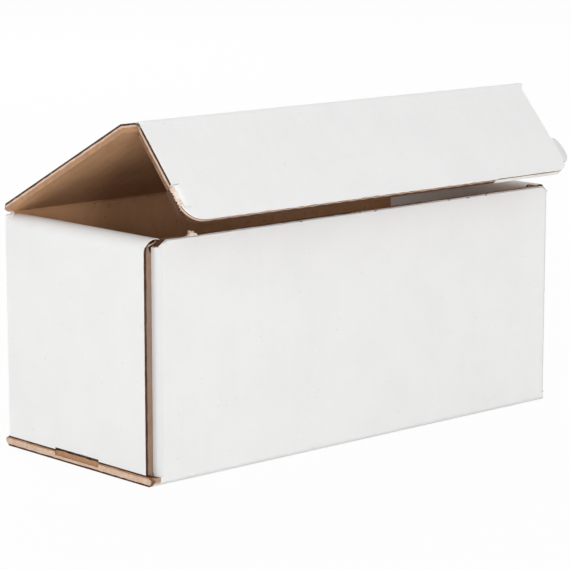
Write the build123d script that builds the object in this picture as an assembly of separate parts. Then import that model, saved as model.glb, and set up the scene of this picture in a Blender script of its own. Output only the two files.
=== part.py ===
from build123d import *
import os

os.makedirs("parts", exist_ok=True)

# Corrugated mailer box: a tray with rolled ends, a lid and a tuck flap, die-cut from one sheet of board.
# X runs along the long front, Y from front to back, Z up; the origin is the middle of the base's underside.

# the board and the space inside the box
board = 4.0
inside_length = 228.6
inside_width = 96.0
inside_height = 102.0

# how the board folds and lies in layers
fold_radius = 2.6
ply_gap = 0.2
crease_gap = 0.1

# rolled ends
end_side_gap = 0.3
outer_panel_lead = 1.5
right_panel_setback = 0.9
roll_rise = 0.5
corner_gap = 0.2
slit_height = 0.8
slit_liner = 0.6
inner_foot_gap = 0.3
tab_width = 31.0
tab_recess = 0.4
tab_clearance = 0.4
notch_width = 31.0
notch_bite = 1.8
notch_rise = 0.9
torn_depth = 4.0
torn_ply = 0.6

# corner flaps between the layers of the ends
corner_flap_reach = 38.0
corner_flap_drop = 3.0
corner_flap_foot = 1.2
corner_flap_taper = 7.0
shoulder_run = 4.8

# base
base_corner_cut = 1.8
right_corner_cut = 5.4

# lid and tuck flap, with the angles that they rest at
seat_gap = 0.1
lid_angle = 27.4
lid_step_gap = 0.3
lid_dog_ear = 22.0
tuck_clearance = 1.0
tuck_side_gap = 0.2
tuck_length = 49.5
tuck_bend = 76.3
tuck_corner_radius = 9.0
ear_corner_radius = 6.5
relief_gap = 0.8

# locking ears on the sides of the tuck flap
ear_start = 31.5
ear_shoulder = 2.6
ear_reach = 5.6
ear_height = 13.6
right_ear_bend = 16.0
left_ear_bend = 178.0
left_fold_inset = 4.2
left_fold_height = 11.2
ear_slit = 0.3

# places that follow from the sizes
half_length = inside_length / 2 + 2 * (board + ply_gap)
half_width = inside_width / 2 + board
front_top = board + inside_height
roll_top = front_top + roll_rise
seat_z = roll_top + seat_gap
hinge_y = half_width - board / 2
hinge_z = seat_z + board / 2
back_top = seat_z - crease_gap
panel_in = half_length + ply_gap
panel_out = panel_in + board
panel_foot = board + slit_height
panel_half = half_width - board - end_side_gap
roll_inner = board / 2 + ply_gap
roll_outer = roll_inner + board
roll_x = half_length - board / 2
roll_z = roll_top - roll_outer
liner_out = half_length - board - ply_gap
liner_in = liner_out - board
tuck_half = half_length - board - tuck_side_gap
lid_pitch = inside_width - tuck_clearance


def block(x0, x1, y0, y1, z0, z1):
    return Pos((x0 + x1) / 2, (y0 + y1) / 2, (z0 + z1) / 2) * Box(x1 - x0, y1 - y0, z1 - z0)


# base, front and back: one section bent up at two folds, with the back's top edge creased for the lid
wrap = Polyline(
    (-half_width, 0),
    (half_width, 0),
    (half_width, back_top),
    (half_width - board / 2, back_top + board / 2),
    (half_width - board, back_top),
    (half_width - board, board),
    (-half_width + board, board),
    (-half_width + board, front_top),
    (-half_width, front_top),
    close=True,
)
wrap_face = Plane.YZ * make_face(wrap)
walls = extrude(wrap_face, panel_out, both=True)
low_edges = walls.edges().filter_by(Axis.X).group_by(Axis.Z)[0]
walls = fillet(low_edges, fold_radius)

# the base runs on under the end walls, its corners cut off through the folds; the walls stop at the ends' folds
base_outline = Rectangle(2 * panel_out, 2 * half_width)
base_outline = chamfer(base_outline.vertices().group_by(Axis.X)[-1], right_corner_cut)
base_outline = chamfer(base_outline.vertices().group_by(Axis.X)[0], base_corner_cut)
wall_outline = RectangleRounded(2 * half_length, 2 * half_width, fold_radius)
walls &= extrude(base_outline, board) + Pos(0, 0, board) * extrude(wall_outline, hinge_z)

# corner flaps, folded in from the front and the back at each end
flap_low = board + corner_flap_foot
flap_high = front_top - corner_flap_drop
flap_free = half_width - board - corner_flap_reach
flap_root = half_width - board
corner_outline = Polyline(
    (flap_root, flap_low),
    (flap_free, flap_low),
    (flap_free, flap_high - corner_flap_taper),
    (flap_free + corner_flap_taper, flap_high),
    (flap_root, flap_high),
    close=True,
)
corner_flap = extrude(Plane.YZ.offset(half_length - board) * make_face(corner_outline), board)
corner_flaps = corner_flap + mirror(corner_flap, Plane.XZ)
corner_flaps += mirror(corner_flaps, Plane.YZ)

# the front's top corners slope down to the corner flaps
shoulder_outline = Polyline(
    (half_length - shoulder_run, front_top),
    (half_length, flap_high),
    (half_length + board, flap_high),
    (half_length + board, front_top + board),
    (half_length - shoulder_run, front_top + board),
    close=True,
)
shoulder = extrude(Plane.XZ * make_face(shoulder_outline), half_width + board)
shoulder -= block(0, panel_out, -half_width + board, half_width, 0, hinge_z)
walls -= shoulder + mirror(shoulder, Plane.YZ)

# one rolled end: outer panel, roll over the corner flaps, inner panel with its lock tab
roll = Pos(roll_x, roll_z) * (Circle(roll_outer) - Circle(roll_inner))
roll -= Pos(roll_x, roll_z - roll_outer) * Rectangle(4 * roll_outer, 2 * roll_outer)
outer_panel = Pos((panel_in + panel_out) / 2, (panel_foot + roll_z) / 2) * Rectangle(board, roll_z - panel_foot)
inner_foot = board + inner_foot_gap
inner_panel = Pos((liner_in + liner_out) / 2, (inner_foot + roll_z) / 2) * Rectangle(board, roll_z - inner_foot)
end_face = Plane.XZ * (outer_panel + roll + inner_panel)
end_wall = extrude(end_face, panel_half, both=True)
longer_wall = extrude(end_face, panel_half + outer_panel_lead, both=True)
end_wall += longer_wall & block(panel_in, panel_out, 0, half_width, 0, hinge_z)

# the outer panel's back edge stands up square beside the roll
square_top = roll_top - corner_gap
end_wall += block(panel_in, panel_out, panel_half, panel_half + outer_panel_lead, panel_foot, square_top)
end_wall += block(panel_in, panel_in + slit_liner, -panel_half, panel_half, board, panel_foot)
end_wall += block(liner_in, liner_out, -tab_width / 2, tab_width / 2, tab_recess, inner_foot)

# the tuck flap slides down between the front and the inner panel's cut-back edge
relief_y = -half_width + 2 * board + tuck_clearance + relief_gap
relief_z = front_top - tuck_length - relief_gap
end_wall -= block(liner_in - board, liner_out + ply_gap / 2, -half_width, relief_y, relief_z, roll_top + board)

# slot for the lock tab, and the notch at the foot of the wall where the slot breaks out
slot_half = tab_width / 2 + tab_clearance
slot = block(liner_in - tab_clearance, liner_out + tab_clearance, -slot_half, slot_half, -board, 2 * board)
slot &= block(liner_in - board, panel_out, -half_width, half_width, -board, board)
notch_low = board - notch_bite
notch_high = panel_foot + notch_rise
notch = block(panel_in, panel_out + board, -notch_width / 2, notch_width / 2, notch_low, notch_high)
end_wall -= notch

tray = walls + corner_flaps
tray -= slot + mirror(slot, Plane.YZ)
tray -= notch + mirror(notch, Plane.YZ)
left_wall = mirror(end_wall, Plane.YZ)

# the left roll is torn hollow at its front, under its white ply
torn_ring = Pos(-roll_x, roll_z) * (Circle(roll_outer - torn_ply) - Circle(roll_inner - ply_gap / 2))
torn_ring -= Pos(-roll_x, roll_z - roll_outer) * Rectangle(4 * roll_outer, 2 * roll_outer)
left_wall -= extrude(Plane.XZ.offset(panel_half - torn_depth) * torn_ring, torn_depth + board)

# the right outer panel starts a little further back, out of sight behind the front's corner
right_strip = block(panel_in, panel_out + board, -half_width, -panel_half + right_panel_setback, board, hinge_z)
right_wall = end_wall - right_strip
tray += right_wall + left_wall

# lid, drawn shut with its hinge on the X axis; both ends of the panel are creased to a ridge
half_board = board / 2
lid_outline = Polyline(
    (-crease_gap, 0),
    (-crease_gap - half_board, half_board),
    (-lid_pitch + crease_gap + half_board, half_board),
    (-lid_pitch + crease_gap, 0),
    (-lid_pitch + crease_gap + half_board, -half_board),
    (-crease_gap - half_board, -half_board),
    close=True,
)
lid = extrude(Plane.YZ * make_face(lid_outline), panel_out, both=True)
step_x = tuck_half + lid_step_gap
step_root = -lid_pitch + crease_gap + half_board
lid += block(-panel_out, -step_x, -lid_pitch, step_root, -half_board, half_board)
dog_ear = Polyline(
    (step_x, -lid_pitch - board),
    (step_x, -lid_pitch),
    (panel_out, -lid_pitch + lid_dog_ear),
    (panel_out + board, -lid_pitch + lid_dog_ear),
    (panel_out + board, -lid_pitch - board),
    close=True,
)
lid -= extrude(Pos(0, 0, -board) * make_face(dog_ear), 2 * board)

# tuck flap, drawn flat in line with the shut lid, with rounded free corners
flap_outline = Rectangle(2 * tuck_half, tuck_length, align=(Align.CENTER, Align.MAX))
right_corner = flap_outline.vertices().group_by(Axis.Y)[0].sort_by(Axis.X)[-1]
flap_outline = fillet(right_corner, ear_corner_radius)
left_corner = flap_outline.vertices().group_by(Axis.Y)[0].sort_by(Axis.X)[0]
flap_outline = fillet(left_corner, tuck_corner_radius)
tuck_flap = extrude(Pos(0, 0, -half_board) * flap_outline, board)
ridge = Polyline(
    (-crease_gap, 0),
    (-crease_gap - half_board, half_board),
    (board, half_board),
    (board, -half_board),
    (-crease_gap - half_board, -half_board),
    close=True,
)
tuck_flap -= extrude(Plane.YZ * make_face(ridge), half_length, both=True)


# an ear: a rounded tab, bent back about the flap's side
def bent_ear(angle, height):
    ear_end = ear_start + height
    ear_line = Line((0, -ear_start), (ear_shoulder, -ear_start))
    ear_line += ThreePointArc(
        (ear_shoulder, -ear_start),
        (ear_reach, -ear_start - height * 0.4),
        (0, -ear_end),
    )
    ear_line += Line((0, -ear_end), (0, -ear_start))
    ear_flat = extrude(make_face(ear_line), board)
    # the wrap round the fold, then the ear itself, both turned about the inner crease
    crease = Axis((0, 0, 0), (0, 1, 0))
    edge_face = Plane.YZ * Pos(-(ear_start + ear_end) / 2, half_board) * Rectangle(height, board)
    wrap_round = revolve(edge_face, crease, revolution_arc=angle)
    return wrap_round + Rot(0, angle, 0) * ear_flat


tuck_flap += Pos(tuck_half, 0, -half_board) * bent_ear(right_ear_bend, ear_height)

# the left ear is folded flat behind the flap, so the flap's side gives way to the fold
fold_x = -tuck_half + left_fold_inset
fold_low = -ear_start - left_fold_height
tuck_flap -= block(-half_length, fold_x, fold_low - ear_slit, -ear_start + ear_slit, -board, board)
tuck_flap += Pos(fold_x, 0, -half_board) * mirror(bent_ear(left_ear_bend, left_fold_height), Plane.YZ)

# open the lid and bend the tuck flap to the angles that they rest at
lid_place = Pos(0, hinge_y, hinge_z) * Rot(-lid_angle, 0, 0)
flap_place = lid_place * Pos(0, -lid_pitch, 0) * Rot(tuck_bend, 0, 0)
lid = lid_place * lid
tuck_flap = flap_place * tuck_flap

parts = {"tray": tray, "lid": lid, "tuck_flap": tuck_flap}
for name, shape in parts.items():
    shape.label = name
    export_step(shape, "parts/" + name + ".step")
    box = shape.bounding_box()
    print(name, len(shape.solids()), "solid", round(shape.volume), "mm3", box.min, box.max)
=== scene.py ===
import math
import random

import bpy
import bmesh
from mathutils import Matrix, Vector


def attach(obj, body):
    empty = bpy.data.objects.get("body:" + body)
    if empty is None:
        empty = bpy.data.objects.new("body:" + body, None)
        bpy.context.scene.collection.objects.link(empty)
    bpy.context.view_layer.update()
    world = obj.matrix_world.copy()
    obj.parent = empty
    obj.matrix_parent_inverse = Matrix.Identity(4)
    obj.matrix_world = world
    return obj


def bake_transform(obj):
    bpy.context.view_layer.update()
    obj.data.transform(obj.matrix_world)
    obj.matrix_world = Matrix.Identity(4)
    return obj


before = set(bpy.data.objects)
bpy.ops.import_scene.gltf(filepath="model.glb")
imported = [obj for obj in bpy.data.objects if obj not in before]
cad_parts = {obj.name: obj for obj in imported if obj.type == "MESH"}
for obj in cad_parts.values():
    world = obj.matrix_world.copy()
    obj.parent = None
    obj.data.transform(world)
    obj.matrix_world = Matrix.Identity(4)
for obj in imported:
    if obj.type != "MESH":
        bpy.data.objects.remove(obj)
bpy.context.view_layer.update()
mm = 0.001
perMetre = 1000

# places of the folded sheet, in millimetres, the same as the part's
sheet = {
    "board": 4.0,
    "halfLength": 122.7,
    "halfWidth": 52.0,
    "frontTop": 106.0,
    "endOut": 126.9,
    "endHalf": 47.7,
    "endFoot": 4.8,
    "rollX": 120.7,
    "rollZ": 100.3,
    "rollOut": 6.2,
    "endBack": 49.2,
    "squareTop": 106.3,
    "setback": 0.9,
    "baseReach": (50.2, 46.6),     # how far the base's end edge runs, left and right
    "notchHalf": 15.5,
    "linerIn": 114.5,
    "reliefY": -42.2,
    "reliefZ": 55.7,
    "shoulderX": 117.9,
    "shoulderZ": 103.0,
    "flutePitch": 7.6,
}

# the two hinged panels: where each fold is, and how far its panel points above the horizontal
lidPanel = {
    "fold": (50.0, 108.6),
    "angle": 27.4,
    "length": 95.0,
    "half": 126.9,
    "stepX": 118.8,
    "dogEar": 22.0,
}
tuckPanel = {
    "fold": (-34.342, 152.319),
    "angle": -48.9,
    "length": 49.5,
    "half": 118.5,
    "leftCorner": 9.0,
    "rightCorner": 6.5,
    "earStart": 31.5,
    "foldX": -114.3,         # where the left ear is folded behind the flap
    "foldLow": 42.7,
    "foldIn": -100.0,        # how far in the folded ear reaches
    "slitIn": -108.0,
    "paintedFoldShade": (-109.0, 42.0),      # from where the fold's lower end has painted shade, along x and away from the lid
    "rightEar": (118.4, 119.0),
}

# the paper's colours, as they look in plain light; the grey for white in shade and the two darkest cut tones are
# painted shade
paper = {
    "white": (0.82, 0.82, 0.815),
    "whiteShade": (0.785, 0.785, 0.782),
    "paintedShadeGrey": (0.560, 0.560, 0.565),
    "speck": (0.55, 0.50, 0.44),
    "kraft": (0.580, 0.332, 0.180),
    "kraftDark": (0.485, 0.262, 0.134),
    "kraftFleck": (0.240, 0.125, 0.062),
    "cutLight": (0.600, 0.415, 0.300),
    "cutPale": (0.700, 0.530, 0.410),
    "cutMid": (0.300, 0.185, 0.120),
    "cutDark": (0.095, 0.042, 0.022),
    "cutDeep": (0.060, 0.024, 0.012),
    "cutGrey": (0.300, 0.215, 0.165),
    "cutKraft": (0.370, 0.220, 0.138),
    "cutBrown": (0.170, 0.080, 0.042),
    "rim": (0.840, 0.785, 0.730),
    "rimLight": (0.940, 0.915, 0.885),
}


def colour(name):
    return (*paper[name], 1.0)


class Value:
    # one socket, so that shader maths reads as plain sums; a comparison gives a mask of 0 or 1

    def __init__(self, nodes, socket):
        self.nodes = nodes
        self.socket = socket

    def __add__(self, other):
        return self.nodes.maths("ADD", self, other)

    def __radd__(self, other):
        return self.nodes.maths("ADD", other, self)

    def __sub__(self, other):
        return self.nodes.maths("SUBTRACT", self, other)

    def __rsub__(self, other):
        return self.nodes.maths("SUBTRACT", other, self)

    def __mul__(self, other):
        return self.nodes.maths("MULTIPLY", self, other)

    def __rmul__(self, other):
        return self.nodes.maths("MULTIPLY", other, self)

    def __truediv__(self, other):
        return self.nodes.maths("DIVIDE", self, other)

    def __rtruediv__(self, other):
        return self.nodes.maths("DIVIDE", other, self)

    def __gt__(self, other):
        return self.nodes.maths("GREATER_THAN", self, other)

    def __lt__(self, other):
        return self.nodes.maths("LESS_THAN", self, other)

    def __and__(self, other):
        return self.nodes.maths("MULTIPLY", self, other)

    def __or__(self, other):
        return self.nodes.maths("MAXIMUM", self, other)

    def __abs__(self):
        return self.nodes.maths("ABSOLUTE", self)


class PaperNodes:
    # the nodes of a new material, or of the tree that is given

    def __init__(self, name=None, tree=None):
        if tree is None:
            self.material = bpy.data.materials.new(name)
            self.material.use_nodes = True
            tree = self.material.node_tree
        self.tree = tree
        self.tree.nodes.clear()

    def node(self, kind, settings=None, sockets=None, out=0):
        made = self.tree.nodes.new(kind)
        for key, value in (settings or {}).items():
            setattr(made, key, value)
        for key, value in (sockets or {}).items():
            if isinstance(value, Value):
                self.tree.links.new(value.socket, made.inputs[key])
            else:
                made.inputs[key].default_value = value
        return Value(self, made.outputs[out]) if made.outputs else None

    def maths(self, operation, *terms):
        return self.node("ShaderNodeMath", {"operation": operation}, dict(enumerate(terms)))

    def place(self):
        return self.node("ShaderNodeTexCoord", out="Object")

    def normal(self):
        return self.node("ShaderNodeTexCoord", out="Normal")

    def along(self, vector, direction, start=0.0, scale=1.0):
        # how far a place lies along a direction
        sockets = {0: vector, 1: direction}
        return self.node("ShaderNodeVectorMath", {"operation": "DOT_PRODUCT"}, sockets, "Value") * scale - start

    def stretched(self, vector, scale):
        return self.node("ShaderNodeVectorMath", {"operation": "MULTIPLY"}, {0: vector, 1: scale})

    def noise(self, vector, scale, detail=2.0, roughness=0.5):
        sockets = {"Vector": vector, "Scale": scale, "Detail": detail, "Roughness": roughness}
        return self.node("ShaderNodeTexNoise", None, sockets)

    def ribs(self, across):
        # the flutes' wave, along a distance in millimetres
        return self.maths("SINE", across * (2 * math.pi / sheet["flutePitch"]))

    def ramp(self, value, low, high, first=0.0, last=1.0):
        sockets = {0: value, 1: low, 2: high, 3: first, 4: last}
        return self.node("ShaderNodeMapRange", {"interpolation_type": "SMOOTHSTEP"}, sockets)

    def blend(self, mask, below, above):
        return self.node("ShaderNodeMix", {"data_type": "RGBA"}, {0: mask, 6: below, 7: above}, 2)

    def choose(self, mask, below, above):
        return self.node("ShaderNodeMix", {"data_type": "FLOAT"}, {0: mask, 2: below, 3: above}, 0)

    def finish(self, baseColour, roughness, height, strength):
        bump = self.node("ShaderNodeBump", None, {
            "Strength": strength,
            "Distance": finishes["bumpDepth"],
            "Height": height,
        })
        surface = self.node("ShaderNodeBsdfPrincipled", None, {
            "Base Color": baseColour,
            "Roughness": roughness,
            "Specular IOR Level": finishes["specular"],
            "Normal": bump,
        })
        self.node("ShaderNodeOutputMaterial", None, {"Surface": surface})
        return self.material


# finishes of the board: each gives a colour and a height for the bump
finishes = {
    "mottleScale": 38.0,
    "fibreScale": 900.0,
    "speckScale": 620.0,
    "kraftMottleScale": 30.0,
    "kraftFibreScale": 1100.0,
    "fleckScale": 760.0,
    "cutGrainScale": 1500.0,
    "cutPatchScale": 210.0,
    "frayScale": 420.0,
    "tornGrainScale": 1300.0,
    "tornPatchScale": 300.0,
    "tornBump": 0.6,
    "washboard": 0.10,      # how far the flutes show through the liners
    "whiteRoughness": 0.62,
    "kraftRoughness": 0.78,
    "cutRoughness": 0.92,
    "bump": 0.35,
    "bumpDepth": 0.0004,
    "specular": 0.25,
}


def whiteLiner(nodes, place, fluteAcross):
    mottle = nodes.noise(place, finishes["mottleScale"], 4.0, 0.6)
    fibre = nodes.noise(nodes.stretched(place, (1.0, 0.55, 0.55)), finishes["fibreScale"], 3.0, 0.65)
    specks = nodes.ramp(nodes.noise(place, finishes["speckScale"], 1.0), 0.745, 0.80)
    shade = nodes.ramp(mottle, 0.35, 0.7) * 0.55 + fibre * 0.25
    tone = nodes.blend(shade, colour("white"), colour("whiteShade"))
    tone = nodes.blend(specks * 0.35, tone, colour("speck"))
    height = fibre * 0.5 + mottle * 0.4 + nodes.ribs(fluteAcross) * finishes["washboard"]
    return tone, height


def kraftLiner(nodes, place, fluteAcross):
    mottle = nodes.noise(place, finishes["kraftMottleScale"], 5.0, 0.65)
    fibre = nodes.noise(nodes.stretched(place, (0.35, 1.0, 1.0)), finishes["kraftFibreScale"], 3.0, 0.7)
    spots = nodes.noise(nodes.stretched(place, (0.5, 1.0, 1.0)), finishes["fleckScale"], 1.0)
    flecks = nodes.ramp(spots, 0.68, 0.74)
    ribs = nodes.ribs(fluteAcross)
    shade = nodes.ramp(mottle, 0.32, 0.68) * 0.7 + fibre * 0.3
    tone = nodes.blend(shade, colour("kraft"), colour("kraftDark"))
    tone = nodes.blend(nodes.ramp(ribs, 0.2, 1.0) * 0.14, tone, colour("kraftDark"))
    tone = nodes.blend(flecks * 0.45, tone, colour("kraftFleck"))
    height = fibre * 0.6 + ribs * finishes["washboard"] * 1.6
    return tone, height


def cutBoard(nodes, place, across, along, waves):
    # a raw edge, under the thin bars of its layers; across runs from 0 at the outer liner to 1 at the inner one:
    # the outer liner's pale rim, a dark gap, the flute with dark hollows beside it, and the browner inner half; the
    # gap's and hollows' dark is painted shade
    grain = nodes.noise(place, finishes["cutGrainScale"], 3.0, 0.7)
    patches = nodes.noise(place, finishes["cutPatchScale"], 3.0, 0.6)
    depth = across + (patches - 0.5) * 0.10
    gap = nodes.ramp(depth, 0.04, 0.08) & nodes.ramp(depth, 0.33, 0.24)
    inner = nodes.ramp(depth, 0.44, 0.58)
    flute = nodes.ramp(abs(across - 0.5 - nodes.ribs(along) * 0.3), 0.20, 0.08)
    hollow = waves & (1 - flute) & nodes.ramp(depth, 0.10, 0.16) & nodes.ramp(depth, 0.92, 0.86)
    shade = nodes.ramp(patches, 0.4, 0.75) * 0.5 + inner * 0.6
    tone = nodes.blend(shade, colour("cutLight"), colour("cutMid"))
    tone = nodes.blend(gap * 0.85, tone, colour("cutDark"))
    tone = nodes.blend(hollow * 0.35, tone, colour("cutDark"))
    tone = nodes.blend(nodes.ramp(depth, 0.06, 0.03), tone, colour("rim"))
    height = grain * 1.2 - gap * 1.5 - hollow
    return tone, height


def boardMaterial(nodes, isWhite, isCut, white, kraft, cut):
    tone = nodes.blend(isCut, nodes.blend(isWhite, kraft[0], white[0]), cut[0])
    height = nodes.choose(isCut, nodes.choose(isWhite, kraft[1], white[1]), cut[1])
    rough = nodes.choose(isWhite, finishes["kraftRoughness"], finishes["whiteRoughness"])
    rough = nodes.choose(isCut, rough, finishes["cutRoughness"])
    return nodes.finish(tone, rough, height, finishes["bump"])


# nicks along the front's top edge: the middle and half the width of each
trayNicks = [(-40.6, 1.0), (-4.4, 0.7), (5.1, 0.9), (53.3, 0.8), (66.2, 1.1), (78.5, 0.6)]

# bounds of the tray's finishes, in millimetres along the axes or out from a roll's centre; most of them lie
# just off a face, so that none runs along one
zones = {
    "endInner": 114.3,
    "endOuter": 122.8,
    "endSide": 47.75,
    "outerSide": 49.3,
    "aboveBase": 4.05,
    "flapInner": 118.65,
    "flapOuter": 122.75,
    "flapTop": 103.05,
    "flapTurn": 3.5,
    "flapSide": 48.01,
    "hiddenLow": 95,
    "hiddenBack": 47,
    "hiddenFront": -46,
    "hiddenTurn": 3.0,
    "reliefFoot": 60,
    "rollSkin": 6.05,
    "rollMiddle": 4.2,
    "tornX": -114,
    "tornY": -43.5,
    "tornLow": 100.2,
    "tornTurn": 5.75,
    "nickFace": -51.5,
    "nickTop": 106.45,
    "nickFray": 1.8,
    "topLow": 102.9,
    "topY": -47.0,
    "underBaseTop": 3.99,
    "baseEnd": 121.95,
    "slotInner": 113.0,
    "slotOuter": 122.0,
    "slotHalf": 16.0,
    "floorLow": 0.01,
    "wallOuter": 122.6,
    "wallSide": 47.72,
    "underHigh": 2.6,
    "baseTop": (3.0, 5.0),
    "slitTop": (3.9, 4.2),
    "strip": (119.4, 121.9),
}


def trayMaterial():
    nodes = PaperNodes("trayBoard")
    place, normal = nodes.place(), nodes.normal()
    x = nodes.along(place, (1, 0, 0), 0, perMetre)
    y = nodes.along(place, (0, 1, 0), 0, perMetre)
    z = nodes.along(place, (0, 0, 1), 0, perMetre)
    nx = abs(nodes.along(normal, (1, 0, 0)))
    ny = nodes.along(normal, (0, 1, 0))
    nz = nodes.along(normal, (0, 0, 1))
    sideX, sideY = abs(x), abs(y)

    # the end walls are one strip: up the outside, over the roll and down the inside
    rise = nodes.maths("MAXIMUM", z - sheet["rollZ"], 0.0)
    off = sideX - sheet["rollX"]
    turn = nodes.maths("SQRT", off * off + rise * rise)
    angle = nodes.maths("ARCTAN2", rise, off)
    endAcross = (sheet["rollOut"] - turn) / sheet["board"]
    endAlong = z - rise + angle * zones["rollMiddle"]
    beside = (sideX > zones["endOuter"]) & (sideY < zones["outerSide"])
    inEnd = (sideX > zones["endInner"]) & (z > zones["aboveBase"]) & ((sideY < zones["endSide"]) | beside)
    # the corner flaps
    fluted = (sideX > zones["flapInner"]) & (sideX < zones["flapOuter"]) & (z < zones["flapTop"])
    fluted = fluted & (turn < zones["flapTurn"]) & (sideY < zones["flapSide"])
    # the liner beside the rolls, which is white
    hiddenRight = (x > zones["endOuter"]) & (y < zones["hiddenFront"])
    hidden = (z > zones["hiddenLow"]) & (((ny < 0) & (y > zones["hiddenBack"])) | hiddenRight)
    foot = (nx < 0.1) & (nz > 0.95) & (z < zones["reliefFoot"])
    endCut = inEnd & (1 - fluted) & (1 - hidden) & ((abs(ny) > 0.7) | (nz < -0.8) | foot)
    endWhite = inEnd & ((turn > zones["rollSkin"]) | (hidden & (turn > zones["hiddenTurn"])))

    # the left roll is torn hollow at its front, and the front's top edge has nicks
    torn = (x < zones["tornX"]) & (y < zones["tornY"]) & (z > zones["tornLow"]) & (turn < zones["tornTurn"]) & inEnd
    frayed = nodes.noise(nodes.stretched(place, (1.0, 0.3, 1.0)), finishes["frayScale"], 3.0, 0.7)
    nicks = abs(x - trayNicks[0][0]) < trayNicks[0][1]
    for middle, half in trayNicks[1:]:
        nicks = nicks | (abs(x - middle) < half)
    nicked = nicks & (y < zones["nickFace"]) & (z + frayed * zones["nickFray"] > zones["nickTop"])

    # walls, corner flaps and base
    topCut = ((nz > 0.45) & (z > zones["topLow"]) & (y < zones["topY"]) & (1 - inEnd)) | nicked
    flapCut = fluted & ((abs(nz) > 0.3) | (abs(ny) > 0.7))
    baseCut = (z < zones["underBaseTop"]) & (abs(nz) < 0.5) & (sideX > zones["baseEnd"])
    slotCut = (z < zones["underBaseTop"]) & (z > zones["floorLow"]) & (sideX < zones["slotOuter"])
    slotCut = slotCut & (sideX > zones["slotInner"]) & (sideY < zones["slotHalf"]) & (abs(nz) < 0.5)
    isCut = endCut | topCut | flapCut | baseCut | slotCut | torn
    wallEnds = (sideX > zones["wallOuter"]) & (sideY > zones["wallSide"])
    underside = (nz < -0.5) & (z < zones["underHigh"])
    outside = (sideY > zones["outerSide"]) | wallEnds | underside
    baseTop = (nz > 0.5) & (z > zones["baseTop"][0]) & (z < zones["baseTop"][1])
    isWhite = ((outside & (1 - inEnd)) | endWhite) & (1 - baseTop)

    # across and along a raw edge, each kind in its own way
    topAcross = (sheet["halfWidth"] - sideY) / sheet["board"]
    flapAcross = (sheet["halfLength"] - sideX) / sheet["board"]
    across = nodes.choose(flapCut, nodes.choose(topCut, endAcross, topAcross), flapAcross)
    across = nodes.choose(baseCut | slotCut, across, z / sheet["board"])
    along = nodes.choose(topCut, nodes.choose(flapCut, endAlong, y), x)
    waves = (1 - baseCut) & (1 - slotCut)

    fluteAcross = nodes.choose(inEnd, x, endAlong)
    white = whiteLiner(nodes, place, fluteAcross)
    kraft = kraftLiner(nodes, place, fluteAcross)
    cut = cutBoard(nodes, place, across, along, waves)
    # painted shade: the torn hollow and the corner flaps' raw edges behind the end panels are darkened
    cut = nodes.blend((torn | flapCut) * 0.8, cut[0], colour("cutDark")), cut[1]
    cut = nodes.blend(nicked, cut[0], colour("cutKraft")), cut[1]

    # painted shade: the front's strip beside the end panel is greyed
    strip = nodes.ramp(sideX, *zones["strip"]) & (sideX < zones["endOuter"])
    strip = strip & (sideY > zones["wallSide"]) & (z > zones["aboveBase"])
    paintedStripShade = strip * nodes.ramp(sideY, 50.8, 47.5, 0.50, 0.62)
    white = nodes.blend(paintedStripShade, white[0], colour("paintedShadeGrey")), white[1]
    # painted shade: the base's top in the slit under the end panel is darkened
    paintedSlitShade = (nz > 0.5) & (z > zones["slitTop"][0]) & (z < zones["slitTop"][1]) & (sideX > zones["wallOuter"])
    kraft = nodes.blend(paintedSlitShade * 0.9, kraft[0], colour("cutDark")), kraft[1]
    return boardMaterial(nodes, isWhite, isCut, white, kraft, cut)


def panelAxes(panel):
    # unit vectors along a hinged panel, away from its fold, and out through its white side
    turn = math.radians(panel["angle"])
    return Vector((0, -math.cos(turn), math.sin(turn))), Vector((0, math.sin(turn), math.cos(turn)))


def panelPoint(panel, x, far, up):
    # a point of a hinged panel, in metres
    forward, out = panelAxes(panel)
    start = Vector((x, *panel["fold"]))
    return (start + forward * far + out * up) * mm


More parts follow.
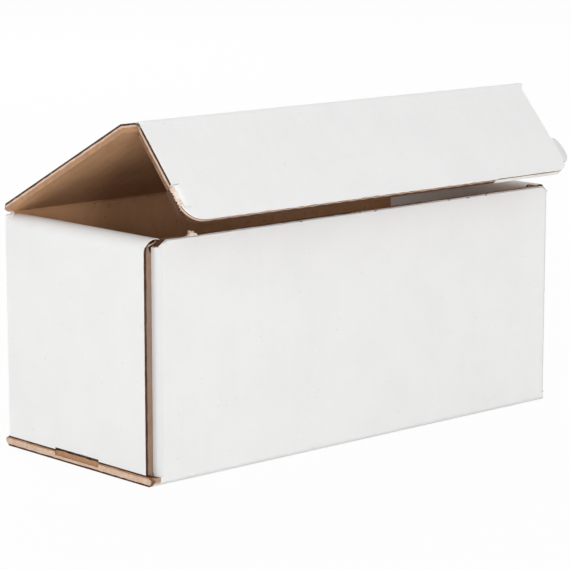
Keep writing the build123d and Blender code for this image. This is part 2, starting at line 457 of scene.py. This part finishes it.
def panelMaterial(name, panel, earZone):
    nodes = PaperNodes(name)
    place, normal = nodes.place(), nodes.normal()
    forward, out = panelAxes(panel)
    fold = Vector((0, *panel["fold"]))
    x = nodes.along(place, (1, 0, 0), 0, perMetre)
    far = nodes.along(place, forward, fold.dot(forward), perMetre)
    up = nodes.along(place, out, fold.dot(out), perMetre)
    facing = nodes.along(normal, out)
    sideways = nodes.along(normal, (1, 0, 0))
    across = 0.5 - up / sheet["board"]
    isCut = abs(facing) < 0.5
    isWhite = facing > 0.4
    if earZone:
        # the left ear lies behind the flap, with its white side turned away from it; its fold is white too
        around = (far > panel["earStart"] - 0.1) & (far < panel["foldLow"] + 0.1)
        wrapped = around & (x < panel["foldX"] - 0.02) & (abs(nodes.along(normal, forward)) < 0.5)
        folded = (up < -2.02) & (x < panel["foldIn"])
        rim = abs(nodes.along(normal, forward)) > 0.45
        isCut = nodes.choose(folded, isCut & (1 - wrapped), rim & (1 - wrapped))
        isWhite = nodes.choose(folded, isWhite, facing < -0.3) | wrapped
        # the white skin is drawn down a little into the ends of the fold's two slits
        upperSlit = (far > panel["earStart"] - 0.8) & (far < panel["earStart"] + 0.5) & (x < panel["foldX"])
        lowerSlit = (far > panel["foldLow"] - 0.6) & (far < panel["foldLow"] + 0.6) & (x < panel["slitIn"])
        drawnIn = (upperSlit | lowerSlit) & (up > 0.2) & (1 - (abs(sideways) > 0.7))
        isCut, isWhite = isCut & (1 - drawnIn), isWhite | drawnIn
    waves = abs(sideways) < 0.8
    white = whiteLiner(nodes, place, x)
    kraft = kraftLiner(nodes, place, x)
    cut = cutBoard(nodes, place, across, nodes.choose(waves, far, x), waves)
    if earZone:
        # painted shade: the inner part of the fold is darkened
        under = (x < panel["paintedFoldShade"][0]) & (far > panel["paintedFoldShade"][1]) & (up < 0.4)
        cut = nodes.blend(under * 0.9, cut[0], colour("cutDark")), cut[1]
        # painted shade: the lower half of the wrapped fold's white skin is darkened
        paintedFoldShade = wrapped & (up < 0.2)
        white = nodes.blend(paintedFoldShade, white[0], colour("cutDark")), white[1]
        # painted shade: the right ear, bent away from the light, is a little greyed
        paintedEarShade = nodes.ramp(x, *panel["rightEar"], 0.0, 0.22)
        white = nodes.blend(paintedEarShade, white[0], colour("paintedShadeGrey")), white[1]
    return boardMaterial(nodes, isWhite, isCut, white, kraft, cut)


def dress(node, material):
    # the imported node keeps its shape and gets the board's material
    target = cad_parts[node]
    target.data.materials.clear()
    target.data.materials.append(material)


dress("tray", trayMaterial())
dress("lid", panelMaterial("lidBoard", lidPanel, False))
dress("tuck_flap", panelMaterial("tuckBoard", tuckPanel, True))
print("board materials done")


def linerMaterial(name, isWhite):
    # plain liner for the folds' own pieces
    nodes = PaperNodes(name)
    place = nodes.place()
    x = nodes.along(place, (1, 0, 0), 0, perMetre)
    tone, height = whiteLiner(nodes, place, x) if isWhite else kraftLiner(nodes, place, x)
    rough = finishes["whiteRoughness"] if isWhite else finishes["kraftRoughness"]
    return nodes.finish(tone, rough, height, finishes["bump"])


def fibreMaterial(name, low, high, roughness):
    # torn or cut paper: fibres and patches between two tones
    nodes = PaperNodes(name)
    place = nodes.place()
    grain = nodes.noise(nodes.stretched(place, (1.0, 0.6, 1.0)), finishes["tornGrainScale"], 4.0, 0.75)
    patches = nodes.noise(place, finishes["tornPatchScale"], 3.0, 0.6)
    tone = nodes.blend(nodes.ramp(patches * 0.7 + grain * 0.3, 0.36, 0.64), colour(low), colour(high))
    return nodes.finish(tone, roughness, grain, finishes["tornBump"])


whiteFold = linerMaterial("whiteFold", True)
kraftFold = linerMaterial("kraftFold", False)
# the dark tone is painted shade: it stands where the raw edges' openings, gaps and slits lie in shade
edgeTones = {
    "rim": fibreMaterial("rimPaper", "rim", "rimLight", 0.85),
    "pale": fibreMaterial("palePaper", "cutLight", "cutPale", 0.92),
    "kraft": fibreMaterial("kraftEdge", "cutKraft", "kraftDark", 0.92),
    "grey": fibreMaterial("greyEdge", "cutGrey", "cutMid", 0.92),
    "brown": fibreMaterial("brownEdge", "cutBrown", "cutMid", 0.92),
    "dark": fibreMaterial("paintedShadeEdge", "cutDark", "cutDeep", 0.95),
}
tornPaper = fibreMaterial("tornPaper", "cutLight", "rim", 0.95)


def finishPiece(name, mesh, materials, riding):
    # turn a bmesh into a piece, riding on one body; given anything else, such as a fold's two bodies and band, the
    # piece stays in place with its transform baked into its mesh
    bmesh.ops.recalc_face_normals(mesh, faces=mesh.faces)
    data = bpy.data.meshes.new(name)
    mesh.to_mesh(data)
    mesh.free()
    for material in materials:
        data.materials.append(material)
    piece = bpy.data.objects.new(name, data)
    bpy.context.scene.collection.objects.link(piece)
    if isinstance(riding, str):
        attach(piece, riding)
    else:
        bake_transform(piece)
    return piece


def loftRings(mesh, rings, slot=0, smooth=(), capSlot=None):
    # closed skin through rings of as many points each, capped at both ends; smooth names the rounded sides
    made = [[mesh.verts.new(point) for point in ring] for ring in rings]
    count = len(rings[0])
    for near, far in zip(made, made[1:]):
        for i in range(count):
            face = mesh.faces.new((near[i], near[(i + 1) % count], far[(i + 1) % count], far[i]))
            face.material_index = slot
            face.smooth = i in smooth
    for ring in (made[0], made[-1]):
        mesh.faces.new(ring).material_index = slot if capSlot is None else capSlot


# skins over the two folds: the stretched white liner outside and the creased kraft liner inside
foldSkin = {
    "radius": 2.04,
    "overlap": 2.7,          # how far the skin runs back over each panel
    "thick": 0.3,
    "inset": 2.1,            # where the panels' ridges start
    "creaseDepth": 1.5,      # how near the inner crease comes to the axis
    "wrinkle": 0.03,
    "sink": 0.07,            # how far the skin's edges dip into the board, so that they don't show
    "sharp": 0.6,            # 0 is a round fold, 1 a square one
    "tip": 2.8,              # how far the tuck fold's right end is drawn out past its panel
    "tipRings": ((0.5, 0.5), (1.0, 0.06)),      # how far out, and how much of the fold's thickness is left
    "tipPlace": 1.04,
    "step": 3.0,
    "arcSteps": 8,
    "ridge": 2.02,
    "halves": {"lidFold": 122.4, "tuckFold": 118.4},
}


def foldRings(half, profile, draw, tip=None):
    # the same profile of (y, z) points all along x, with slight wrinkles, and a drawn-out tip at the right end
    count = int(2 * half / foldSkin["step"])
    rings = []
    for i in range(count + 1):
        x = -half + 2 * half * i / count
        shift = draw.uniform(-1, 1) * foldSkin["wrinkle"]
        rings.append([Vector((x, y + shift * dy, z + shift * dz)) * mm for y, z, dy, dz in profile])
    if tip:
        for part, shrink in foldSkin["tipRings"]:
            x = half + foldSkin["tip"] * part
            drawnIn = [tip + (Vector((y, z)) - tip) * shrink for y, z, *_ in profile]
            rings.append([Vector((x, *point)) * mm for point in drawnIn])
    return rings


def makeFold(name, bodies, axis, back, ahead, seed, hasTip):
    # back and ahead are (away, out) pairs of (y, z) directions of the panels on the two sides of the fold
    draw = random.Random(seed)
    half, steps = foldSkin["halves"][name], foldSkin["arcSteps"]
    centre = Vector(axis)
    (awayBack, outBack), (awayAhead, outAhead) = [[Vector(d) for d in pair] for pair in (back, ahead)]
    middle = (outBack + outAhead).normalized()
    across = Vector((-middle.y, middle.x))
    if across.dot(awayAhead) < 0:
        across = -across
    radius, thick, run = foldSkin["radius"], foldSkin["thick"], foldSkin["overlap"]

    # outside: flat over each panel's end, round about the axis between them
    start = math.atan2(outBack.y, outBack.x)
    turn = math.atan2(outAhead.y, outAhead.x) - start
    angles = [start + turn * i / steps for i in range(steps + 1)]
    arc = [Vector((math.cos(angle), math.sin(angle))) for angle in angles]
    low = radius - foldSkin["sink"]
    fromEnds = [abs(turn) / 2 - abs(turn) * abs(i / steps - 0.5) for i in range(steps + 1)]
    crown = [radius / math.cos(angle) ** foldSkin["sharp"] for angle in fromEnds]
    outer = [awayBack * run + outBack * low]
    outer += [direction * reach for direction, reach in zip(arc, crown)]
    outer.append(awayAhead * run + outAhead * low)
    inner = [awayAhead * run + outAhead * (radius - thick)] + [d * (radius - thick) for d in arc[::-1]]
    inner += [awayBack * run + outBack * (radius - thick)]
    profile = []
    for i, point in enumerate(outer + inner):
        moves = point.normalized() if 1 < i <= steps else Vector((0, 0))
        profile.append((*(centre + point), *moves))
    mesh = bmesh.new()
    tip = centre + middle * radius * foldSkin["tipPlace"] if hasTip else None
    loftRings(mesh, foldRings(half, profile, draw, tip), smooth=range(1, steps + 1))
    band = radius * math.sin(abs(turn) / 2)
    low, high = [Vector((0, *(centre + across * side * band))) * mm for side in (-1, 1)]
    finishPiece(name + "Outer", mesh, [whiteFold], (*bodies, low, high))

    # inside: from one panel's edge to the crease and on to the other's
    inset = foldSkin["inset"]
    edges = [awayBack * inset - outBack * foldSkin["ridge"], awayAhead * inset - outAhead * foldSkin["ridge"]]
    points = [edges[0], -middle * foldSkin["creaseDepth"], edges[1], middle * 0.4]
    profile = [(*(centre + point), 0, 0) for point in points]
    mesh = bmesh.new()
    loftRings(mesh, foldRings(half, profile, draw))
    band = abs(edges[1].dot(across)) * 0.95
    low, high = [Vector((0, *(centre + across * side * band))) * mm for side in (-1, 1)]
    finishPiece(name + "Inner", mesh, [kraftFold], (*bodies, low, high))


lidForward, lidOut = [direction.yz for direction in panelAxes(lidPanel)]
tuckForward, tuckOut = [direction.yz for direction in panelAxes(tuckPanel)]
lidSides = ((0, -1), (1, 0)), (lidForward, lidOut)
tuckSides = (-lidForward, lidOut), (tuckForward, tuckOut)
makeFold("lidFold", ("tray", "lid"), lidPanel["fold"], *lidSides, 11, False)
makeFold("tuckFold", ("lid", "tuck_flap"), tuckPanel["fold"], *tuckSides, 12, True)
print("folds done")


# raw edges: thin bars of paper along the cut, standing a little proud of the board's end
rawEdge = {
    "step": 0.9,
    "rollStep": 9,           # in degrees
    "root": 0.25,
    "fluteThick": 0.42,
    "fluteLift": 0.13,
    "shoulderRun": 0.86,     # how much of the front's shoulder has a rim
    "frontSplit": -8,        # where the front's top edge goes over from its plain half to its fluted one
    "tuckSplit": 69,
    "tornBend": (0, 54),     # the torn roll, in degrees
    "tornRim": (30, 150),
    "tornLayers": ((0.2, 1.4, "dark"), (1.4, 3.9, "grey")),
    "tornClosing": 0.9,
    "scrap": ((-125.9, 102.9), (-119.6, 104.9)),
    "rollEnds": (64, 115),
}

# each kind of raw edge, from the white side: where its layers meet, their tones, how far each stands proud and
# how much the bounds between them waver; waves is a flute that shows: its tone, middle and swing; the dark tone is
# painted shade
edgeKinds = {
    "end": {
        "cuts": (0.2, 1.4, 2.5, 4.0),
        "tones": ("dark", "grey", "grey"),
        "lifts": (0.05, 0.12, 0.05),
        "waver": 0.12,
    },
    "base": {
        "cuts": (0.1, 0.95, 3.45, 4.1, 4.65),
        "tones": ("dark", "pale", "kraft", "dark"),
        "lifts": (0.05, 0.20, 0.10, 0.04),
        "waver": 0.14,
    },
    "notchLow": {
        "cuts": (0.1, 0.95, 2.1),
        "tones": ("dark", "pale"),
        "lifts": (0.05, 0.20),
        "waver": 0.10,
    },
    "lid": {
        "cuts": (0.1, 1.0, 1.85, 4.0),
        "tones": ("dark", "pale", "kraft"),
        "lifts": (0.05, 0.18, 0.07),
        "waver": 0.12,
    },
    "tuckSide": {
        "cuts": (0.1, 1.15, 2.1, 4.0),
        "tones": ("dark", "pale", "brown"),
        "lifts": (0.05, 0.18, 0.05),
        "waver": 0.14,
    },
    "tuckFront": {
        "cuts": (0, 0.8, 2.3, 4.0),
        "tones": ("rim", "grey", "dark"),
        "lifts": (0.14, 0.08, 0.03),
        "waver": 0.16,
        "waves": ("pale", 1.55, 0.5),
    },
    "tuckCorner": {
        "cuts": (0, 0.8, 1.25, 2.1, 4.0),
        "tones": ("rim", "dark", "pale", "dark"),
        "lifts": (0.14, 0.04, 0.12, 0.03),
        "waver": 0.10,
    },
    "tuckTight": {
        "cuts": (0, 0.6, 1.35, 4.0),
        "tones": ("rim", "dark", "rim"),
        "lifts": (0.12, 0.03, 0.06),
        "waver": 0.10,
    },
    "frontLeft": {
        "cuts": (0, 0.55, 1.6, 4.0),
        "tones": ("rim", "dark", "brown"),
        "lifts": (0.16, 0.04, 0.08),
        "waver": 0.12,
    },
    "shoulder": {
        "cuts": (0, 0.4, 4.0),
        "tones": ("rim", "dark"),
        "lifts": (0.14, 0.04),
        "waver": 0.08,
    },
    "frontRight": {
        "cuts": (0, 0.5, 1.3, 4.0),
        "tones": ("rim", "grey", "brown"),
        "lifts": (0.16, 0.08, 0.06),
        "waver": 0.14,
        "waves": ("pale", 1.9, 0.95),
    },
}


def toneSlot(tone):
    return list(edgeTones).index(tone)


def straightRun(start, end, across, out):
    # places along a straight edge: a point on the white side's corner, the way across the board, the way out
    start, end = Vector(start), Vector(end)
    count = max(2, int((end - start).length / rawEdge["step"]))
    return [(start.lerp(end, i / count), Vector(across), Vector(out)) for i in range(count + 1)]


def rollRun(side, y, first, last, out):
    # places round a roll's raw end, from one angle to another, in degrees
    places = []
    centre = Vector((side * sheet["rollX"], y, sheet["rollZ"]))
    count = int(abs(last - first) / rawEdge["rollStep"])
    for i in range(count + 1):
        angle = math.radians(first + (last - first) * i / count)
        radial = Vector((side * math.cos(angle), 0, math.sin(angle)))
        places.append((centre + radial * sheet["rollOut"], -radial, Vector((0, out, 0))))
    return places


def cornerRun(centre, radius, first, last, panel):
    # places round a rounded corner of a hinged panel
    forward, out = panelAxes(panel)
    places = []
    for i in range(9):
        angle = math.radians(first + (last - first) * i / 8)
        radial = Vector((math.cos(angle), 0, 0)) + forward * math.sin(angle)
        middle = panelPoint(panel, centre[0], centre[1], sheet["board"] / 2) / mm
        places.append((middle + radial * radius, -out, radial))
    return places


def smoothNoise(draw, count, hold):
    # wandering values from -1 to 1, one new draw in every few places
    knots = [draw.uniform(-1, 1) for _ in range(count // hold + 3)]
    values = []
    for i in range(count):
        base, part = divmod(i / hold, 1)
        part = part * part * (3 - 2 * part)
        values.append(knots[int(base)] * (1 - part) + knots[int(base) + 1] * part)
    return values


def addBar(mesh, places, nears, fars, lifts, slot):
    # one layer: a bar between two distances across the board, at each place along the edge
    rings = []
    for (point, across, out), near, far, lift in zip(places, nears, fars, lifts):
        low = -out * rawEdge["root"]
        first, last = point + across * near, point + across * far
        rings.append([(first + low) * mm, (first + out * lift) * mm, (last + out * lift) * mm, (last + low) * mm])
    loftRings(mesh, rings, slot)


def addPlainBar(mesh, places, far, lift, tone):
    count = len(places)
    addBar(mesh, places, [0.0] * count, [far] * count, [lift] * count, toneSlot(tone))


def addEdge(mesh, places, draw, kindName):
    # one raw edge: its layers side by side, and the flute's wave over them where the cut shows it
    kind = edgeKinds[kindName]
    count = len(places)
    cuts = []
    for i, cut in enumerate(kind["cuts"]):
        waver = 0 if i in (0, len(kind["cuts"]) - 1) else kind["waver"]
        cuts.append([cut + waver * value for value in smoothNoise(draw, count, 2 + i)])
    for nears, fars, tone, lift in zip(cuts, cuts[1:], kind["tones"], kind["lifts"]):
        lifts = [lift * (1 + 0.35 * value) for value in smoothNoise(draw, count, 3)]
        addBar(mesh, places, nears, fars, lifts, toneSlot(tone))
    if "waves" in kind:
        travelled = [0.0]
        for (near, _, _), (far, _, _) in zip(places, places[1:]):
            travelled.append(travelled[-1] + (far - near).length)
        wander = smoothNoise(draw, count, 7)
        tone, centre, reach = kind["waves"]
        phases = [2 * math.pi * s / sheet["flutePitch"] + 0.6 * w for s, w in zip(travelled, wander)]
        middles = [centre + reach * math.sin(phase) for phase in phases]
        half = rawEdge["fluteThick"] / 2
        nears, fars = [middle - half for middle in middles], [middle + half for middle in middles]
        lifts = [rawEdge["fluteLift"] + 0.05 * w for w in wander]
        addBar(mesh, places, nears, fars, lifts, toneSlot(tone))


def makeTrayEdges():
    draw = random.Random(21)
    mesh = bmesh.new()
    front, back, rollZ = -sheet["endHalf"], sheet["endHalf"], sheet["rollZ"]
    for side in (-1, 1):
        outFace, inFace = side * sheet["endOut"], side * sheet["linerIn"]
        inward, outward = (-side, 0, 0), (side, 0, 0)
        toFront, toBack = (0, -1, 0), (0, 1, 0)
        # outer panel, front and back, with the roll's ends above it
        near = front + (sheet["setback"] if side > 0 else 0)
        upper = zones["hiddenLow"] if side > 0 else rollZ
        low, high = (outFace, near, sheet["endFoot"]), (outFace, near, upper)
        addEdge(mesh, straightRun(low, high, inward, toFront), draw, "end")
        low, high = (outFace, sheet["endBack"], sheet["endFoot"]), (outFace, sheet["endBack"], sheet["squareTop"])
        addEdge(mesh, straightRun(low, high, inward, toBack), draw, "end")
        if side > 0:
            addEdge(mesh, rollRun(side, front, *rawEdge["rollEnds"], -1), draw, "end")
        else:
            # in the torn roll the panel's layers run on a little way, closing up as they bend in
            bend = rollRun(side, front + 0.15, *rawEdge["tornBend"], -1)
            closing = [1 - rawEdge["tornClosing"] * i / (len(bend) - 1) for i in range(len(bend))]
            for first, last, tone in rawEdge["tornLayers"]:
                nears = [0.2 + (first - 0.2) * part for part in closing]
                fars = [0.6 + (last - 0.2) * part for part in closing]
                addBar(mesh, bend, nears, fars, [0.05] * len(bend), toneSlot(tone))
            # the white skin's rim round the hollow, and a pale scrap that hangs across it
            addPlainBar(mesh, rollRun(side, front, *rawEdge["tornRim"], -1), 0.4, 0.06, "rim")
            low, high = [(x, front + 1.0, z) for x, z in rawEdge["scrap"]]
            addPlainBar(mesh, straightRun(low, high, (0.3, 0, -0.95), toFront), 0.55, 0.1, "pale")
        addEdge(mesh, rollRun(side, back, 64, 180, 1), draw, "end")
        # inner panel, where it is cut back for the tuck flap, and its back edge
        high, low = (inFace, sheet["reliefY"], rollZ), (inFace, sheet["reliefY"], sheet["reliefZ"])
        addEdge(mesh, straightRun(high, low, outward, toFront), draw, "end")
        addEdge(mesh, rollRun(side, sheet["reliefY"], 118, 180, -1), draw, "end")
        addEdge(mesh, straightRun((inFace, back, rollZ), (inFace, back, 4.6), outward, toBack), draw, "end")
        # the base's end; at the notch its upper half is crushed back
        reach, notch = sheet["baseReach"][side > 0], sheet["notchHalf"]
        for first, last in ((-reach, -notch), (notch, reach)):
            addEdge(mesh, straightRun((outFace, first, 0), (outFace, last, 0), (0, 0, 1), outward), draw, "base")
        run = straightRun((outFace, -notch, 0), (outFace, notch, 0), (0, 0, 1), outward)
        addEdge(mesh, run, draw, "notchLow")
        crushed = [(point - out * 0.9, across, out) for point, across, out in run]
        nears = [2.1 + 0.1 * value for value in smoothNoise(draw, len(run), 3)]
        fars = [4.3 - 0.2 * value for value in smoothNoise(draw, len(run), 4)]
        addBar(mesh, crushed, nears, fars, [0.3] * len(run), toneSlot("kraft"))
    # the front's top edge and its two shoulders
    top, face, shoulder = sheet["frontTop"], -sheet["halfWidth"], sheet["shoulderX"]
    across, up, split = (0, 1, 0), (0, 0, 1), rawEdge["frontSplit"]
    addEdge(mesh, straightRun((-shoulder, face, top), (split, face, top), across, up), draw, "frontLeft")
    addEdge(mesh, straightRun((split, face, top), (shoulder, face, top), across, up), draw, "frontRight")
    for side in (-1, 1):
        slope = Vector((side * 0.53, 0, 0.848))
        foot = Vector((side * sheet["halfLength"], face, sheet["shoulderZ"]))
        low = Vector((side * shoulder, face, top)).lerp(foot, rawEdge["shoulderRun"])
        addEdge(mesh, straightRun((side * shoulder, face, top), low, across, slope), draw, "shoulder")
    finishPiece("trayRawEdges", mesh, edgeTones.values(), "tray")


def panelRun(panel, first, last, out):
    # a straight raw edge of a hinged panel, between two (x, far) places on its white side
    places = [panelPoint(panel, x, far, sheet["board"] / 2) / mm for x, far in (first, last)]
    return straightRun(*places, -panelAxes(panel)[1], out)


def makeLidEdges():
    draw = random.Random(22)
    mesh = bmesh.new()
    forward = panelAxes(lidPanel)[0]
    half, length, cut, step = lidPanel["half"], lidPanel["length"], lidPanel["dogEar"], lidPanel["stepX"]
    addEdge(mesh, panelRun(lidPanel, (-half, 2.1), (-half, length), (-1, 0, 0)), draw, "lid")
    addEdge(mesh, panelRun(lidPanel, (half, 2.1), (half, length - cut), (1, 0, 0)), draw, "lid")
    slant = Vector((cut, 0, 0)) + forward * (half - step)
    addEdge(mesh, panelRun(lidPanel, (half, length - cut), (step, length), slant.normalized()), draw, "lid")
    addEdge(mesh, panelRun(lidPanel, (-half, length), (-step, length), forward), draw, "lid")
    finishPiece("lidRawEdges", mesh, edgeTones.values(), "lid")


def makeTuckEdges():
    draw = random.Random(23)
    mesh = bmesh.new()
    forward = panelAxes(tuckPanel)[0]
    half, length = tuckPanel["half"], tuckPanel["length"]
    left, right, start = tuckPanel["leftCorner"], tuckPanel["rightCorner"], tuckPanel["earStart"]
    addEdge(mesh, panelRun(tuckPanel, (-half, 2.1), (-half, start - 0.5), (-1, 0, 0)), draw, "tuckSide")
    addEdge(mesh, panelRun(tuckPanel, (half, 2.1), (half, start - 0.1), (1, 0, 0)), draw, "tuckSide")
    split = rawEdge["tuckSplit"]
    addEdge(mesh, panelRun(tuckPanel, (left - half, length), (split, length), forward), draw, "tuckFront")
    addEdge(mesh, panelRun(tuckPanel, (split, length), (half - right, length), forward), draw, "tuckTight")
    addEdge(mesh, cornerRun((left - half, length - left), left, 90, 174, tuckPanel), draw, "tuckCorner")
    addEdge(mesh, cornerRun((half - right, length - right), right, 34, 90, tuckPanel), draw, "tuckTight")
    finishPiece("tuckRawEdges", mesh, edgeTones.values(), "tuck_flap")


makeTrayEdges()
makeLidEdges()
makeTuckEdges()
print("raw edges done")


# worn paper: the tuft on the front's top edge, the torn skin on the folded ear's fold and the base's crushed ends
wornPaper = {
    # places along x and heights
    "tuft": (
        (-106.4, 0.6), (-105.4, 1.1), (-104.4, 1.9), (-103.5, 2.5), (-102.6, 2.4), (-101.6, 1.6), (-100.7, 0.8),
    ),
    "tuftDepths": (-51.6, -51.0),
    "flakeThick": 0.16,
    "foldRadius": 4.0,
    "fuzzLift": 0.30,
    "foldSides": 14,
    "foldRuns": 30,
    # the crushed end's outline, as (y, z), and its size at each place along x
    "curl": (
        (49.4, 0.4), (50.6, 0.6), (51.6, 1.4), (52.2, 2.4), (52.1, 3.2), (51.4, 3.8), (50.5, 4.0), (49.4, 4.0),
    ),
    "curlMiddle": (50.6, 2.2),
    "curlSizes": ((-127.1, 0.74), (-126.8, 1.0), (-125.6, 0.96), (-124.2, 0.85), (-122.9, 0.7)),
    "curlShake": 0.05,
}


def addFlake(mesh, root, along, up, lean, wide, high, draw):
    # one ragged scrap of paper standing on an edge, thinner towards its tip
    along, up, lean = Vector(along), Vector(up), Vector(lean)
    rings = []
    for i in range(4):
        part = i / 3
        half = wide * (1 - 0.55 * part ** 2) * draw.uniform(0.85, 1.1)
        thick = wornPaper["flakeThick"] * (1 - 0.6 * part)
        middle = Vector(root) + up * (high * part - 0.3) + lean * high * part * part
        middle += along * draw.uniform(-0.2, 0.2)
        side = lean.normalized() if lean.length else along.cross(up)
        corners = (-1, -1), (1, -1), (1, 1), (-1, 1)
        rings.append([(middle + along * half * s + side * thick * t) * mm for s, t in corners])
    loftRings(mesh, rings)


def makeTuft():
    draw = random.Random(31)
    mesh = bmesh.new()
    for place, high in wornPaper["tuft"]:
        for depth in wornPaper["tuftDepths"]:
            root = (place + draw.uniform(-0.3, 0.3), depth, sheet["frontTop"])
            lean = (draw.uniform(-0.15, 0.15), draw.uniform(-0.1, 0.4), 0)
            wide = draw.uniform(0.8, 1.1)
            addFlake(mesh, root, (1, 0, 0), (0, 0, 1), lean, wide, high * draw.uniform(0.85, 1.1), draw)
    finishPiece("frontTuft", mesh, [tornPaper], "tray")


def gridRim(grid):
    # the points round the outside of a grid of rows, in order
    last, side = len(grid) - 1, len(grid[0]) - 1
    rim = [row[0] for row in grid] + grid[last][1:]
    rim += [grid[i][side] for i in range(last - 1, -1, -1)]
    return rim + [grid[0][j] for j in range(side - 1, 0, -1)]


def makeTornFold():
    draw = random.Random(32)
    mesh = bmesh.new()
    sides, runs = wornPaper["foldSides"], wornPaper["foldRuns"]
    start, end = tuckPanel["earStart"] - 0.3, tuckPanel["foldLow"] + 0.4
    top = []
    for i in range(runs + 1):
        far = start + (end - start) * i / runs
        edgeA, edgeB = draw.uniform(34, 46), draw.uniform(66, 76)
        row = []
        for j in range(sides + 1):
            angle = math.radians(edgeA + (edgeB - edgeA) * j / sides)
            inside = 0 < j < sides and 0 < i < runs
            lift = 0.06 + wornPaper["fuzzLift"] * draw.random() ** 1.6 if inside else -0.15
            radius = wornPaper["foldRadius"] + lift
            x = tuckPanel["foldX"] - radius * math.sin(angle)
            up = radius * math.cos(angle) - sheet["board"] / 2
            row.append(mesh.verts.new(panelPoint(tuckPanel, x, far, up)))
        top.append(row)
    under = [[mesh.verts.new(v.co + Vector((0.0005, 0, 0))) for v in row] for row in top]
    for grid in (top, under):
        for i in range(runs):
            for j in range(sides):
                mesh.faces.new((grid[i][j], grid[i + 1][j], grid[i + 1][j + 1], grid[i][j + 1]))
    rimTop, rimUnder = gridRim(top), gridRim(under)
    for i in range(len(rimTop)):
        k = (i + 1) % len(rimTop)
        mesh.faces.new((rimTop[i], rimTop[k], rimUnder[k], rimUnder[i]))
    finishPiece("tornFold", mesh, [tornPaper], "tuck_flap")


def makeFootCurls():
    # the crushed ends of the base's left edge, where it runs out through the folds of the front and the back
    draw = random.Random(33)
    mesh = bmesh.new()
    (middleY, middleZ), shake = wornPaper["curlMiddle"], wornPaper["curlShake"]
    for side in (1, -1):
        rings = []
        for x, size in wornPaper["curlSizes"]:
            ring = []
            for y, z in wornPaper["curl"]:
                y = middleY + (y - middleY) * size + draw.uniform(-shake, shake)
                z = middleZ + (z - middleZ) * size + draw.uniform(-shake, shake)
                ring.append(Vector((x, side * y, z)) * mm)
            rings.append(ring)
        loftRings(mesh, rings, slot=1, capSlot=0)
    finishPiece("footCurls", mesh, [edgeTones["pale"], edgeTones["brown"]], "tray")


makeTuft()
makeTornFold()
makeFootCurls()
print("worn paper done")


# floor, light and camera
stage = {
    "floorTone": 0.86,
    "floorGlow": 0.95,       # how much of the floor that the camera sees is plain white
    "worldLight": 0.66,
    "keyPower": 1.6,
    "keySize": 1.6,
    "keyPlace": (-1.3, -1.5, 1.7),
    "sidePower": 10.0,
    "sideSize": 0.4,
    "sidePlace": (-0.75, -1.90, 0.40),
    "leftPower": 11.5,
    "leftSize": 0.6,
    "leftPlace": (-2.00, -0.70, 0.36),
    "fillPower": 3.0,
    "fillPlace": (1.6, -1.2, 1.2),
    "backPower": 14.0,
    "backPlace": (0.9, 1.9, 1.5),
    "aim": (0, 0, 0.06),
    "floorReach": 6.0,
    "floorHeight": -0.0002,
}

view = {
    "lens": 159.3,
    "sensor": 36.0,
    "shift": (-0.0036, -0.0031),
    "place": (-0.7875, -0.8568, 0.2780),
    "down": 10.32,           # how far the camera looks down, in degrees
    "heading": 47.46,
}


def seenDirectly(nodes):
    rays = "Is Camera Ray", "Is Glossy Ray", "Is Transmission Ray"
    camera, glossy, through = [nodes.node("ShaderNodeLightPath", out=ray) for ray in rays]
    return camera | glossy | through


def floorMaterial():
    nodes = PaperNodes("paleFloor")
    tone = stage["floorTone"]
    matte = nodes.node("ShaderNodeBsdfDiffuse", None, {"Color": (tone, tone, tone, 1)})
    glow = nodes.node("ShaderNodeEmission", None, {"Color": (1, 1, 1, 1), "Strength": 1.0})
    seen = seenDirectly(nodes) * stage["floorGlow"]
    mixed = nodes.node("ShaderNodeMixShader", None, {0: seen, 1: matte, 2: glow})
    nodes.node("ShaderNodeOutputMaterial", None, {"Surface": mixed})
    return nodes.material


def makeFloor():
    mesh = bpy.data.meshes.new("floor")
    reach, height = stage["floorReach"], stage["floorHeight"]
    corners = [(x * reach, y * reach, height) for x, y in ((-1, -1), (1, -1), (1, 1), (-1, 1))]
    mesh.from_pydata(corners, [], [(0, 1, 2, 3)])
    floor = bpy.data.objects.new("floor", mesh)
    floor.data.materials.append(floorMaterial())
    bpy.context.scene.collection.objects.link(floor)


def makeWorld():
    world = bpy.data.worlds.new("studio")
    bpy.context.scene.world = world
    world.use_nodes = True
    nodes = PaperNodes(tree=world.node_tree)
    light = nodes.node("ShaderNodeBackground", None, {"Color": (1, 1, 1, 1), "Strength": stage["worldLight"]})
    plain = nodes.node("ShaderNodeBackground", None, {"Color": (1, 1, 1, 1), "Strength": 1.0})
    mixed = nodes.node("ShaderNodeMixShader", None, {0: seenDirectly(nodes), 1: light, 2: plain})
    nodes.node("ShaderNodeOutputWorld", None, {"Surface": mixed})


def makeLamp(name, size):
    place = stage[name + "Place"]
    lamp = bpy.data.lights.new(name, "AREA")
    lamp.energy = stage[name + "Power"]
    lamp.size = size
    lampObject = bpy.data.objects.new(name, lamp)
    lampObject.location = place
    lampObject.rotation_euler = (Vector(stage["aim"]) - Vector(place)).to_track_quat("-Z", "Y").to_euler()
    bpy.context.scene.collection.objects.link(lampObject)


def makeCamera():
    camera = bpy.data.cameras.new("camera")
    camera.lens = view["lens"]
    camera.sensor_width = view["sensor"]
    camera.shift_x, camera.shift_y = view["shift"]
    cameraObject = bpy.data.objects.new("camera", camera)
    cameraObject.location = view["place"]
    cameraObject.rotation_euler = (math.radians(90 - view["down"]), 0, math.radians(view["heading"] - 90))
    bpy.context.scene.collection.objects.link(cameraObject)
    bpy.context.scene.camera = cameraObject


makeFloor()
makeWorld()
makeLamp("key", stage["keySize"])
makeLamp("side", stage["sideSize"])
makeLamp("left", stage["leftSize"])
makeLamp("fill", stage["keySize"])
makeLamp("back", stage["keySize"])
makeCamera()
bpy.context.scene.view_settings.view_transform = "Standard"
print("floor, light and camera done")
